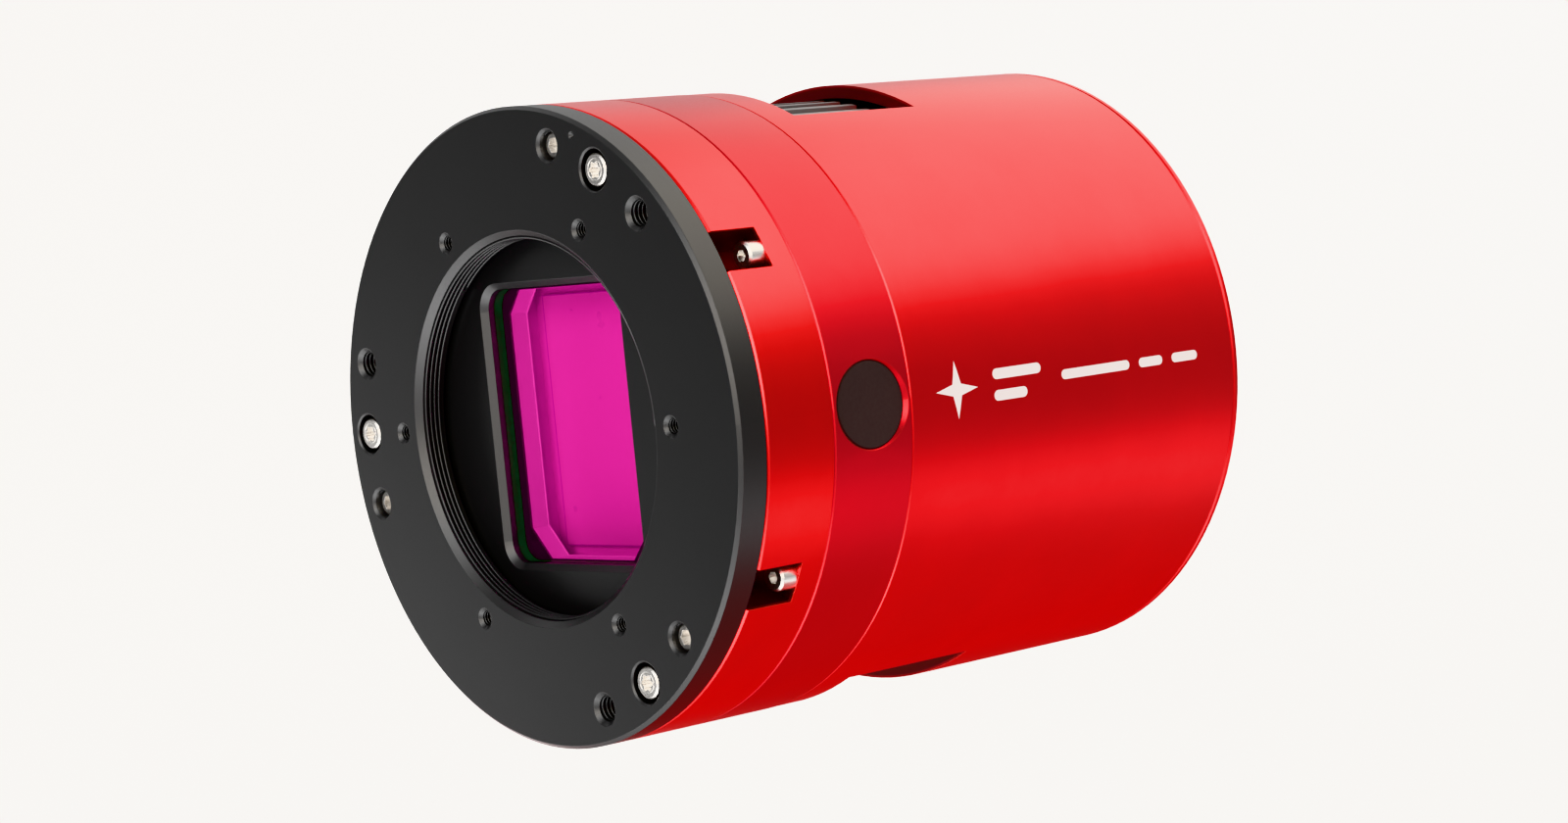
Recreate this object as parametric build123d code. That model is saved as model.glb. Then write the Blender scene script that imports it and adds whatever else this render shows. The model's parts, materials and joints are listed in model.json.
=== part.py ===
from build123d import *
import math
import os

# A cooled astronomy camera: a round anodised housing with a black tilt plate at the front.
# Millimetres, +Z up. The optical axis is the Y axis, and the camera looks towards -Y.
# The origin is the centre of the front thread, in the front face of the tilt plate.

# ---- driving dimensions -------------------------------------------------------------------

BODY_R = 45.0            # outside of the front rings and of the tilt plate
SHELL_R = 44.95          # outside of the rear shell, a hair smaller
LENGTH = 97.7            # front face of the tilt plate to the rear face of the cover
PLATE_REAR = 4.55        # the tilt plate is this thick
TILT_GAP = 0.2           # air between the tilt plate and the housing
RING_FRONT = PLATE_REAR + TILT_GAP
SEAM_FRONT = 16.4        # joint between the front ring and the chamber housing
SEAM_REAR = 30.6         # joint between the chamber housing and the rear shell
LEAD_CHAMFER = 0.3       # front edge of each anodised ring behind a joint
SEAM_CHAMFER = 0.1       # rear edge in front of a joint
SEAM_GAP = 0.05          # air between faces that are bolted together
EDGE_CHAMFER = 0.5       # front edge of the plate and rear edge of the rear cover

THREAD_BORE_R = 27.0     # M54 x 0.75 thread, drawn as a plain bore of its nominal radius
THREAD_MOUTH_R = 27.9

SMALL_HOLE_CIRCLE_R = 31.15   # six M2.5 holes
SMALL_HOLE_R = 1.05
SMALL_HOLE_MOUTH_R = 1.55
OUTER_CIRCLE_R = 40.2         # tilt screws and spare M4 holes
PULL_ANGLES = (60, 180, 300)
PUSH_ANGLES = (75, 195, 315)
SPARE_ANGLES = (45, 165, 285)
COUNTERBORE_R = 2.85
COUNTERBORE_MOUTH_R = 3.1
COUNTERBORE_FLOOR = 2.95
PULL_CLEARANCE_R = 1.6
PULL_SHANK_R = 1.25
PULL_HEAD_R = 2.25
PULL_HEAD = 2.6
PULL_GROOVE_R = (1.36, 1.52)   # shallow ring cut in the face of a pull screw's head
GROOVE_DEPTH = 0.06
STAR_R = 1.2             # six-lobed socket of the pull screws
PULL_TIP = 13.0
PUSH_R = 1.96
PUSH_FRONT = 1.2         # the grub screws lie this deep in their holes
PUSH_EDGE = 0.36         # broken edge at both ends of a grub screw
PUSH_HOLE_R = 2.0
SPARE_HOLE_R = 1.8
M4_MOUTH_R = 2.4
DIMPLE_AT = (42.9, 68)   # radius and angle of the index mark
DIMPLE_R = 0.55
RUNNING = 0.04           # radial play of a screw or pin that moves
BEARING_GAP = 0.05       # air under a screw head or tip that bears on another body

NOTCH_ANGLES = (30, 150, 210, 330)
NOTCH_WIDTH = 6.2
NOTCH_REAR = 12.5
NOTCH_FLOOR_R = 39.0
RING_SCREW_CIRCLE_R = 43.0
RING_SCREW_HEAD_R = 1.9
RING_SCREW_HEAD = 2.6
RING_SCREW_R = 0.95
RING_SCREW_TIP = 22.0

WINDOW_FACE = 5.2        # front face of the black window plate
WINDOW_PLATE_R = 33.5
WINDOW_FLANGE_REAR = 9.0
WINDOW_BOSS_R = 31.3
WINDOW_BOSS_REAR = 10.2
POCKET_HALF = (15.3, 19.7)
POCKET_CORNER = 3.1
POCKET_CHAMFER = 0.9
PANE_PLAY = 0.1
PANE_FRONT = 7.0
PANE_REAR = 8.4
MASK_REAR = 8.7
OCTAGON_HALF = (13.6, 19.4)
OCTAGON_TOP_CUT = (2.7, 3.4)
OCTAGON_BOTTOM_CUT = (4.0, 4.4)
RELIEF = 2.6             # how much wider the window plate's opening is at its rear
HEATER_HALF = (18.4, 24.0)
HEATER_WIDTH = 1.7

CHAMBER_R = 36.0         # inside of the sealed sensor chamber
CHAMBER_REAR = 27.5
SENSOR_FACE = 13.5       # light-sensitive face, 24 x 36 mm
DIE_HALF = (12.2, 18.2)
DIE_THICK = 0.6
PACKAGE_FRONT = 12.4
PACKAGE_REAR = 15.4
PACKAGE_HALF = (19.0, 23.6)
PACKAGE_CAVITY_HALF = (14.6, 20.4)
COVER_GLASS = 0.7
COVER_GLASS_HALF = (18.4, 23.0)
BOARD_THICK = 1.6
SENSOR_BOARD_FRONT = 15.6
SENSOR_BOARD_R = 34.5
SENSOR_POST_CIRCLE_R = 31.9
FINGER_WINDOW = (11.0, 15.0)

PORT_Y = 23.7            # desiccant port in the side of the chamber housing
PORT_CAP_R = 6.0
PORT_SEAT_X = 42.4
PORT_MOUTH = (0.6, 0.6)  # bevel of the port's mouth: across and along the port's axis
PORT_BORE_R = 3.7
PORT_FACE_X = 44.5
PLUG_PLAY = 0.06

SHELL_INNER_R = 43.0
SPIGOT_R = (40.2, 42.9)
SPIGOT_REAR = 34.5
VENT_HALF_ANGLE = 26.8
VENT_Y = (36.5, 60.0)
SHELL_REAR = 96.2

SINK_BASE = (30.7, 35.5)
SINK_BASE_R = 39.5
PEDESTAL_HALF = 18.0
PEDESTAL_FRONT = 27.9
FIN_REAR = 57.0
FIN_R = 42.75            # the fins almost reach the shell, and show in its vents
FIN_PITCH = 3.5
FIN_THICK = 1.2
FINS_EACH_SIDE = 8
SINK_SCREWS = ((31.5, 19.5), (31.5, -19.5), (-31.5, 19.5), (-31.5, -19.5))

FAN_Y = (60.5, 75.5)
FAN_HALF = 30.0
FAN_BORE_R = 28.8
FAN_SCREW_AT = 25.0
FAN_SCREW_DEPTH = 6.5    # length of thread in the heat sink's bosses
BLADE_R = 28.2
HUB_R = 13.0
ROTOR_Y = (61.5, 72.3)
BLADES = 7
FAN_SHAFT_R = 1.5

BOARD_Y = 84.0
BOARD_INNER_R = 24.5
BOARD_OUTER_R = 40.2
POST_AT = ((36.0, 12.0), (36.0, -12.0), (-36.0, 12.0), (-36.0, -12.0))
POST_ACROSS = 4.5
COVER_FRONT = 94.25
COVER_R = 42.9           # the part of the cover inside the shell
COVER_RIM_CHAMFER = 0.4
COVER_SCREW_SEAT = 96.0
USB_B_AT = (0.0, -32.8)
USB_A_AT = ((-8.2, 32.5), (8.2, 32.5))
POWER_AT = (-33.0, 0.0)
SOCKET_REAR = 97.4
RIBBON_X = -33.0


# ---- small helpers --------------------------------------------------------------------------

def disc(radius, y0, y1, x=0.0, z=0.0):
    """A round bar along Y."""
    return Pos(x, (y0 + y1) / 2, z) * Rot(90, 0, 0) * Cylinder(radius, y1 - y0)


def tube(outer, inner, y0, y1, x=0.0, z=0.0):
    return disc(outer, y0, y1, x, z) - disc(inner, y0 - 1, y1 + 1, x, z)


def block(half_x, y0, y1, half_z, x=0.0, z=0.0):
    """A straight block, given by its half sizes across and its two ends along Y."""
    return Pos(x, (y0 + y1) / 2, z) * Box(2 * half_x, y1 - y0, 2 * half_z)


def across(y):
    """The plane at y whose sketch X and Y are the object's X and Z."""
    return Plane(origin=(0, y, 0), x_dir=(1, 0, 0), z_dir=(0, -1, 0))


def slab(sketch, y0, y1):
    """A sketch in X and Z, made solid from y0 to y1."""
    return extrude(across(y0) * sketch, amount=-(y1 - y0))


def rounded(half_x, half_z, corner, x=0.0, z=0.0):
    return Pos(x, z) * RectangleRounded(2 * half_x, 2 * half_z, corner)


def turned(points):
    """A body turned about the optical axis, from (radius, y) points."""
    return revolve(make_face(Polyline(*points, close=True)), Axis.Y)


def turned_along_x(points):
    """A body turned about the desiccant port's axis, from (radius, x) points."""
    profile = make_face(Polyline(*[(x, PORT_Y + r) for r, x in points], close=True))
    return revolve(profile, Axis((0, PORT_Y, 0), (1, 0, 0)))


def polar(radius, degrees):
    """X and Z of a point at an angle from +X towards +Z."""
    return radius * math.cos(math.radians(degrees)), radius * math.sin(math.radians(degrees))


def turn(degrees):
    """A turn about the optical axis, from +X towards +Z."""
    return Rot(0, -degrees, 0)


def countersunk_hole(radius, mouth, y0, y1, x, z):
    """A hole through from y0 to y1 with a 45 degree mouth at y0."""
    depth = mouth - radius
    cone = Pos(x, y0 + depth / 2, z) * Rot(90, 0, 0) * Cone(radius, mouth, depth)
    return disc(radius, y0 - 1, y1 + 1, x, z) + cone


def hexagon(across_flats, y0, y1, x=0.0, z=0.0):
    return slab(Pos(x, z) * RegularPolygon(across_flats / 2, 6, major_radius=False), y0, y1)


def star_socket(radius, y0, y1, x, z):
    """A six-lobed socket."""
    star = Circle(radius * 0.78)
    for angle in range(0, 360, 60):
        star += Pos(*polar(radius * 0.76, angle)) * Circle(radius * 0.24)
    return slab(Pos(x, z) * star, y0, y1)


def cap_head(radius, y0, y1, x, z, edge=0.2):
    """A round screw head whose edge at y0 is broken."""
    cone = Pos(x, y0 + edge / 2, z) * Rot(90, 0, 0) * Cone(radius, radius - edge, edge)
    return disc(radius, y0 + edge, y1, x, z) + cone


def save(name, shape):
    """Writes one sub-part under its name."""
    shape.label = name
    export_step(shape, os.path.join("parts", name + ".step"))


def group(pieces):
    """Identical pieces that are kept together, each its own solid."""
    return Compound(children=list(pieces))


# ---- tilt plate and its screws --------------------------------------------------------------

def tilt_plate():
    """The black front plate with the telescope thread, six small holes and the tilt screws' holes."""
    lip = THREAD_MOUTH_R - THREAD_BORE_R
    plate = turned([
        (THREAD_MOUTH_R, 0), (BODY_R - EDGE_CHAMFER, 0), (BODY_R, EDGE_CHAMFER),
        (BODY_R, PLATE_REAR - SEAM_CHAMFER), (BODY_R - SEAM_CHAMFER, PLATE_REAR),
        (THREAD_BORE_R, PLATE_REAR), (THREAD_BORE_R, lip),
    ])
    for angle in range(0, 360, 60):
        x, z = polar(SMALL_HOLE_CIRCLE_R, angle)
        plate -= countersunk_hole(SMALL_HOLE_R, SMALL_HOLE_MOUTH_R, 0, PLATE_REAR, x, z)
    for angle in PULL_ANGLES:
        x, z = polar(OUTER_CIRCLE_R, angle)
        plate -= disc(PULL_CLEARANCE_R, -1, PLATE_REAR + 1, x, z)
        plate -= countersunk_hole(COUNTERBORE_R, COUNTERBORE_MOUTH_R, 0, COUNTERBORE_FLOOR - 1, x, z)
    for angles, radius in ((PUSH_ANGLES, PUSH_HOLE_R), (SPARE_ANGLES, SPARE_HOLE_R)):
        for angle in angles:
            x, z = polar(OUTER_CIRCLE_R, angle)
            plate -= countersunk_hole(radius, M4_MOUTH_R, 0, PLATE_REAR, x, z)
    x, z = polar(*DIMPLE_AT)
    plate -= Pos(x, 0, z) * Rot(90, 0, 0) * Cone(0.05, 2 * DIMPLE_R - 0.05, 2 * DIMPLE_R)
    return plate


def push_screw(angle):
    """A grub screw in the tilt plate, whose flat end bears on the housing."""
    x, z = polar(OUTER_CIRCLE_R, angle)
    tip = RING_FRONT - BEARING_GAP
    screw = cap_head(PUSH_R, PUSH_FRONT, tip - PUSH_EDGE, x, z, PUSH_EDGE)
    screw += Pos(x, tip - PUSH_EDGE / 2, z) * Rot(90, 0, 0) * Cone(PUSH_R - PUSH_EDGE, PUSH_R, PUSH_EDGE)
    screw -= hexagon(2.0, PUSH_FRONT - 0.1, PUSH_FRONT + 2.0, x, z)
    return screw


def pull_screw(angle):
    """A cap screw whose head holds the tilt plate and whose shank is screwed into the housing."""
    x, z = polar(OUTER_CIRCLE_R, angle)
    seat = COUNTERBORE_FLOOR - BEARING_GAP
    front = seat - PULL_HEAD
    head = cap_head(PULL_HEAD_R, front, seat, x, z, 0.25)
    head -= tube(PULL_GROOVE_R[1], PULL_GROOVE_R[0], front - 1, front + GROOVE_DEPTH, x, z)
    shank = disc(PULL_SHANK_R, seat - 0.1, PULL_TIP, x, z)
    return head + shank - star_socket(STAR_R, front - 0.1, front + 1.0, x, z)


# ---- front ring and window --------------------------------------------------------------------

def front_ring():
    """The anodised ring that holds the window plate, with notches for its four screws."""
    bore, ledge = WINDOW_PLATE_R + 0.1, WINDOW_BOSS_R + 0.2
    front = RING_FRONT
    ring = turned([
        (bore, front), (BODY_R - LEAD_CHAMFER, front), (BODY_R, front + LEAD_CHAMFER),
        (BODY_R, SEAM_FRONT - SEAM_CHAMFER), (BODY_R - SEAM_CHAMFER, SEAM_FRONT),
        (CHAMBER_R, SEAM_FRONT), (CHAMBER_R, 11.0), (ledge, 11.0),
        (ledge, WINDOW_FLANGE_REAR + SEAM_GAP), (bore, WINDOW_FLANGE_REAR + SEAM_GAP),
    ])
    depth = BODY_R + 1 - NOTCH_FLOOR_R
    middle = (BODY_R + 1 + NOTCH_FLOOR_R) / 2
    for angle in NOTCH_ANGLES:
        notch = Pos(middle, (NOTCH_REAR + front - 1) / 2, 0)
        notch *= Box(depth, NOTCH_REAR - front + 1, NOTCH_WIDTH)
        ring -= turn(angle) * notch
        x, z = polar(RING_SCREW_CIRCLE_R, angle)
        ring -= disc(RING_SCREW_R + 0.15, NOTCH_REAR - 1, SEAM_FRONT + 1, x, z)
    for angle in PULL_ANGLES:
        x, z = polar(OUTER_CIRCLE_R, angle)
        ring -= disc(PULL_SHANK_R + RUNNING, front - 1, PULL_TIP + 1, x, z)
    return ring


def ring_screw(angle):
    """A cap screw that lies in a notch of the front ring and holds it to the chamber housing."""
    x, z = polar(RING_SCREW_CIRCLE_R, angle)
    front = NOTCH_REAR - RING_SCREW_HEAD
    head = cap_head(RING_SCREW_HEAD_R, front, NOTCH_REAR, x, z, 0.3)
    shank = disc(RING_SCREW_R, NOTCH_REAR - 0.1, RING_SCREW_TIP, x, z)
    return head + shank - hexagon(1.5, front - 0.1, front + 1.2, x, z)


def octagon():
    """The clear outline behind the window, with larger cuts at its bottom corners."""
    half_x, half_z = OCTAGON_HALF
    top_x, top_z = OCTAGON_TOP_CUT
    low_x, low_z = OCTAGON_BOTTOM_CUT
    right_side = [
        (half_x - low_x, -half_z), (half_x, low_z - half_z),
        (half_x, half_z - top_z), (half_x - top_x, half_z),
    ]
    left_side = [(-x, z) for x, z in reversed(right_side)]
    return make_face(Polyline(*right_side, *left_side, close=True))


def pocket_mouth():
    """The bevelled mouth of the window pocket."""
    half_x, half_z = POCKET_HALF
    grow = POCKET_CHAMFER
    outer = across(WINDOW_FACE) * rounded(half_x + grow, half_z + grow, POCKET_CORNER + grow)
    inner = across(WINDOW_FACE + grow) * rounded(half_x, half_z, POCKET_CORNER)
    return loft([outer.faces()[0], inner.faces()[0]])


def window_plate():
    """The black plate that holds the window: a pocket from the front, and an octagonal hole that widens behind it."""
    plate = disc(WINDOW_PLATE_R, WINDOW_FACE, WINDOW_FLANGE_REAR)
    plate += disc(WINDOW_BOSS_R, WINDOW_FLANGE_REAR - 0.5, WINDOW_BOSS_REAR)
    plate -= slab(rounded(*POCKET_HALF, POCKET_CORNER), WINDOW_FACE - 1, MASK_REAR)
    plate -= pocket_mouth()
    near = across(MASK_REAR) * offset(octagon(), 0.2, kind=Kind.INTERSECTION)
    far = across(WINDOW_BOSS_REAR) * offset(octagon(), RELIEF, kind=Kind.INTERSECTION)
    return plate - loft([near.faces()[0], far.faces()[0]])


def window_glass():
    half_x, half_z = POCKET_HALF
    outline = rounded(half_x - PANE_PLAY, half_z - PANE_PLAY, POCKET_CORNER - PANE_PLAY)
    return slab(outline, PANE_FRONT, PANE_REAR)


def window_mask():
    """The thin black frame behind the pane that gives the window its cut corners."""
    half_x, half_z = POCKET_HALF
    outline = rounded(half_x - PANE_PLAY, half_z - PANE_PLAY, POCKET_CORNER - PANE_PLAY)
    return slab(outline - octagon(), PANE_REAR, MASK_REAR)


def window_heater():
    """A thin heating frame behind the window plate that keeps dew off the pane."""
    half_x, half_z = HEATER_HALF
    outline = rounded(half_x, half_z, 3.0) - rounded(half_x - HEATER_WIDTH, half_z - HEATER_WIDTH, 2.0)
    return slab(outline, WINDOW_BOSS_REAR, WINDOW_BOSS_REAR + 0.4)


def ring_seal(radius, thickness, y):
    """A rubber ring about the optical axis, in its groove."""
    return Pos(0, y, 0) * Rot(90, 0, 0) * Torus(radius, thickness)


# ---- chamber housing and what it holds ------------------------------------------------------

def seal_groove(radius, y):
    """A square groove that opens towards -Y and takes a rubber ring."""
    return tube(radius + 0.95, radius - 0.95, y - 1, y + 1.3)


def chamber_housing():
    """The anodised ring round the sealed sensor chamber, with the desiccant port in its side."""
    front, rear = SEAM_FRONT + SEAM_GAP, SEAM_REAR
    inner, outer = SPIGOT_R
    housing = turned([
        (CHAMBER_R, front), (BODY_R - LEAD_CHAMFER, front), (BODY_R, front + LEAD_CHAMFER),
        (BODY_R, rear - SEAM_CHAMFER), (BODY_R - SEAM_CHAMFER, rear), (outer, rear),
        (outer, SPIGOT_REAR), (inner, SPIGOT_REAR), (inner, rear), (0, rear),
        (0, CHAMBER_REAR), (CHAMBER_R, CHAMBER_REAR),
    ])
    housing -= block(PEDESTAL_HALF + 0.8, CHAMBER_REAR - 1, rear + 1, PEDESTAL_HALF + 0.8)
    housing -= block(1.0, CHAMBER_REAR - 1, rear + 1, 7.0, RIBBON_X)
    housing -= seal_groove(38.2, front)
    for angle in NOTCH_ANGLES:
        x, z = polar(RING_SCREW_CIRCLE_R, angle)
        housing -= disc(RING_SCREW_R, front - 1, RING_SCREW_TIP + 0.5, x, z)
    for x, z in SINK_SCREWS:
        housing -= disc(1.5, CHAMBER_REAR, rear + 1, x, z)
    for angle in range(45, 360, 90):
        x, z = polar(SENSOR_POST_CIRCLE_R, angle)
        housing -= disc(1.0, CHAMBER_REAR - 1, CHAMBER_REAR + 2.2, x, z)
    wider, deeper = PORT_MOUTH
    housing -= turned_along_x([
        (0, CHAMBER_R - 3), (0, BODY_R), (PORT_CAP_R + wider, BODY_R), (PORT_CAP_R, BODY_R - deeper),
        (PORT_CAP_R, PORT_SEAT_X), (PORT_BORE_R, PORT_SEAT_X), (PORT_BORE_R, CHAMBER_R - 3),
    ])
    return housing


def sensor_package():
    """The ceramic package: a frame with a floor that the sensor die is bonded to."""
    body = block(PACKAGE_HALF[0], PACKAGE_FRONT, PACKAGE_REAR, PACKAGE_HALF[1])
    floor = SENSOR_FACE + DIE_THICK
    body = fillet(body.edges().filter_by(Axis.Y), 1.0)
    return body - block(PACKAGE_CAVITY_HALF[0], PACKAGE_FRONT - 1, floor, PACKAGE_CAVITY_HALF[1])


def sensor_die():
    return block(DIE_HALF[0], SENSOR_FACE, SENSOR_FACE + DIE_THICK, DIE_HALF[1])


def sensor_cover_glass():
    half_x, half_z = COVER_GLASS_HALF
    glass = block(half_x, PACKAGE_FRONT - COVER_GLASS, PACKAGE_FRONT, half_z)
    return chamfer(glass.edges().filter_by(Axis.Y), 0.6)


def sensor_board():
    """The round board that carries the sensor, with a hole for the cold finger."""
    rear = SENSOR_BOARD_FRONT + BOARD_THICK
    half_x, half_z = FINGER_WINDOW
    board = disc(SENSOR_BOARD_R, SENSOR_BOARD_FRONT, rear)
    board -= block(half_x, SENSOR_BOARD_FRONT - 1, rear + 1, half_z)
    for angle in range(45, 360, 90):
        x, z = polar(SENSOR_POST_CIRCLE_R, angle)
        board -= disc(1.15, SENSOR_BOARD_FRONT - 1, rear + 1, x, z)
    return board


def sensor_post(angle):
    """A hexagon post between the sensor board and the chamber's rear wall."""
    x, z = polar(SENSOR_POST_CIRCLE_R, angle)
    post = hexagon(4.0, SENSOR_BOARD_FRONT + BOARD_THICK, CHAMBER_REAR, x, z)
    return post + disc(0.95, CHAMBER_REAR - 0.1, CHAMBER_REAR + 2.0, x, z)


def sensor_board_screw(angle):
    x, z = polar(SENSOR_POST_CIRCLE_R, angle)
    front = SENSOR_BOARD_FRONT
    head = disc(1.9, front - 1.3, front, x, z)
    shank = disc(1.0, front - 0.1, front + BOARD_THICK, x, z)
    return head + shank - hexagon(1.2, front - 1.4, front - 0.5, x, z)


def cold_finger():
    """The copper block that carries the sensor's heat back to the cooler."""
    half_x, half_z = FINGER_WINDOW
    neck = block(half_x - 0.8, PACKAGE_REAR + 0.3, 20.0, half_z - 0.8)
    return neck + block(14.0, 19.0, 22.8, 17.5)


def thermal_pad():
    half_x, half_z = FINGER_WINDOW
    return block(half_x - 0.9, PACKAGE_REAR, PACKAGE_REAR + 0.3, half_z - 0.9)


def insulation():
    """Closed-cell foam round the cold finger and the cooler."""
    outer = rounded(20.5, 23.5, 4.0)
    inner = rounded(17.0, 18.2, 2.0)
    return slab(outer - inner, 18.0, 27.2)


COOLER_PLATES = {
    "cooler_cold_plate": (11.5, 22.8, 23.5),
    "cooler_middle_plate": (15.5, 24.9, 25.6),
    "cooler_hot_plate": (15.5, 27.2, 27.9),
}


def cooler_plate(half, y0, y1):
    """One of the ceramic plates of the two-stage cooler."""
    return block(half, y0, y1, half)


def pellets(half, y0, y1):
    """The columns of semiconductor between two cooler plates."""
    pitch = 3.2
    count = int((2 * half - 1.0) // pitch)
    start = -(count - 1) * pitch / 2
    places = [start + pitch * i for i in range(count)]
    return group(block(0.8, y0, y1, 0.8, x, z) for x in places for z in places)


def desiccant_plug():
    """The black cap of the desiccant port, with the stem that carries the cartridge."""
    cap_r = PORT_CAP_R - PLUG_PLAY
    stem_r = PORT_BORE_R - PLUG_PLAY
    seat = PORT_SEAT_X + BEARING_GAP
    return turned_along_x([
        (0, 38.0), (stem_r, 38.0), (stem_r, 39.9), (2.7, 39.9), (2.7, 41.3), (stem_r, 41.3),
        (stem_r, seat), (cap_r, seat), (cap_r, PORT_FACE_X - 0.15), (cap_r - 0.15, PORT_FACE_X),
        (0, PORT_FACE_X),
    ])


def plug_seal():
    """The rubber ring in the groove of the plug's stem."""
    return Pos(40.6, PORT_Y, 0) * Rot(0, 90, 0) * Torus(3.2, 0.45)


def desiccant_cartridge():
    """A slotted tube that holds the drying tablets."""
    tube_r = PORT_BORE_R - 0.3
    body = turned_along_x([
        (0, 24.4), (tube_r, 24.4), (tube_r, 38.0), (2.6, 38.0), (2.6, 25.4), (0, 25.4),
    ])
    for x in (28.0, 31.5, 35.0):
        body -= Pos(x, PORT_Y, 0) * Box(1.2, 2.4, 10)
    return body


def desiccant_tablets():
    """Three tablets inside the cartridge."""
    return group(turned_along_x([(0, x), (2.5, x), (2.5, x + 3.6), (0, x + 3.6)]) for x in (25.6, 29.6, 33.6))


# ---- rear shell, heat sink and fan ----------------------------------------------------------

def vent_wedge(turned_by):
    """The part of the shell's wall that one vent takes away."""
    reach = BODY_R * 1.5
    side = reach * math.tan(math.radians(VENT_HALF_ANGLE))
    wedge = make_face(Polyline((0, 0), (side, reach), (-side, reach), close=True))
    return turn(turned_by) * slab(wedge, *VENT_Y)


def rear_shell():
    """The anodised tube round the heat sink, fan and electronics, with a vent above and below."""
    front = SEAM_REAR + SEAM_GAP
    shell = turned([
        (SHELL_INNER_R, front), (SHELL_R - LEAD_CHAMFER, front), (SHELL_R, front + LEAD_CHAMFER),
        (SHELL_R, SHELL_REAR - SEAM_CHAMFER), (SHELL_R - SEAM_CHAMFER, SHELL_REAR),
        (SHELL_INNER_R, SHELL_REAR),
    ])
    for side in (0, 180):
        shell -= vent_wedge(side)
    return shell


def heat_sink():
    """A round base with a pedestal for the cooler in front and turned straight fins behind."""
    base_front, base_rear = SINK_BASE
    sink = disc(SINK_BASE_R, base_front, base_rear)
    sink += block(PEDESTAL_HALF, PEDESTAL_FRONT, base_front + 1, PEDESTAL_HALF)
    sink -= seal_groove(29.5, base_front)
    for i in range(-FINS_EACH_SIDE, FINS_EACH_SIDE + 1):
        fin = block(FIN_THICK / 2, base_rear - 0.5, FIN_REAR, FIN_R, i * FIN_PITCH)
        sink += fin & disc(FIN_R, base_rear - 1, FIN_REAR + 1)
    for x in (-FAN_SCREW_AT, FAN_SCREW_AT):
        for z in (-FAN_SCREW_AT, FAN_SCREW_AT):
            sink += disc(3.0, base_rear - 0.5, FAN_Y[0], x, z)
            sink -= disc(1.5, FAN_Y[0] - FAN_SCREW_DEPTH - 2, FAN_Y[0] + 1, x, z)
    for x, z in SINK_SCREWS:
        sink -= disc(1.65, base_front - 1, base_rear + 1, x, z)
    for x, z in POST_AT:
        sink -= disc(1.45, base_front + 1.2, base_rear + 1, x, z)
    sink -= block(1.0, base_front - 1, base_rear + 1, 7.0, RIBBON_X)
    return sink


def sink_screw(x, z):
    """A cap screw from the heat sink's base into the chamber housing."""
    rear = SINK_BASE[1]
    head = disc(2.7, rear, rear + 3.0, x, z)
    shank = disc(1.5, CHAMBER_REAR + 0.6, rear + 0.1, x, z)
    return head + shank - hexagon(2.5, rear + 1.5, rear + 3.1, x, z)


def fan_frame():
    """The square frame of the fan, with four arms at the rear that hold the motor."""
    front, rear = FAN_Y
    frame = slab(rounded(FAN_HALF, FAN_HALF, 4.0), front, rear)
    frame -= disc(FAN_BORE_R, front - 1, rear + 1)
    for angle in range(0, 180, 90):
        arm = Pos(0, rear - 1.0, 0) * Box(2 * FAN_BORE_R + 1, 2.0, 3.0)
        frame += turn(angle + 20) * arm
    frame += disc(HUB_R - 0.5, rear - 2.0, rear)
    frame += disc(FAN_SHAFT_R + 2.0, ROTOR_Y[1] - 6.5, rear - 1.0)
    frame -= disc(FAN_SHAFT_R, ROTOR_Y[1] - 8, rear - 0.8)
    for x in (-FAN_SCREW_AT, FAN_SCREW_AT):
        for z in (-FAN_SCREW_AT, FAN_SCREW_AT):
            frame -= disc(1.7, front - 1, rear + 1, x, z)
    return frame


def fan_rotor():
    """The hub, its seven slanted blades and the steel shaft's place in one turning piece."""
    front, rear = ROTOR_Y
    rotor = disc(HUB_R, front, rear)
    rotor -= disc(HUB_R - 1.5, front + 1.5, rear + 1)
    pitch = 32
    for i in range(BLADES):
        reach = BLADE_R - HUB_R + 1.5
        blade = Pos(HUB_R - 1.5 + reach / 2, (front + rear) / 2, 0)
        blade *= Rot(pitch, 0, 0) * Box(reach, 10.0, 1.2)
        rotor += turn(i * 360 / BLADES) * blade
    ends = disc(BLADE_R, front, rear)
    hollow = disc(HUB_R - 1.5, front + 1.5, rear + 1)
    rotor = (rotor & ends) - hollow
    return rotor + disc(FAN_SHAFT_R - RUNNING, front + 0.5, FAN_Y[1] - 1.2)


def fan_screw(x, z):
    """A long screw through the fan's frame into the heat sink."""
    rear = FAN_Y[1]
    head = disc(2.7, rear, rear + 1.8, x, z)
    shank = disc(1.5, FAN_Y[0] - FAN_SCREW_DEPTH, rear + 0.1, x, z)
    return head + shank - hexagon(2.0, rear + 0.8, rear + 1.9, x, z)


# ---- electronics and rear cover ---------------------------------------------------------------

def board_post(x, z):
    """A long hexagon post from the heat sink's base to the main board."""
    post = hexagon(POST_ACROSS, SINK_BASE[1], BOARD_Y, x, z)
    post += disc(1.45, SINK_BASE[0] + 1.4, SINK_BASE[1] + 0.1, x, z)
    return post - disc(1.25, BOARD_Y - 7, BOARD_Y + 1, x, z)


def board_spacer(x, z):
    """A plain tube between the main board and the rear cover."""
    return tube(2.4, 1.6, BOARD_Y + BOARD_THICK, COVER_FRONT, x, z)


def main_board():
    """The ring-shaped main board, open in the middle for the fan's air."""
    rear = BOARD_Y + BOARD_THICK
    board = tube(BOARD_OUTER_R, BOARD_INNER_R, BOARD_Y, rear)
    for x, z in POST_AT:
        board -= disc(1.6, BOARD_Y - 1, rear + 1, x, z)
    return board


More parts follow.
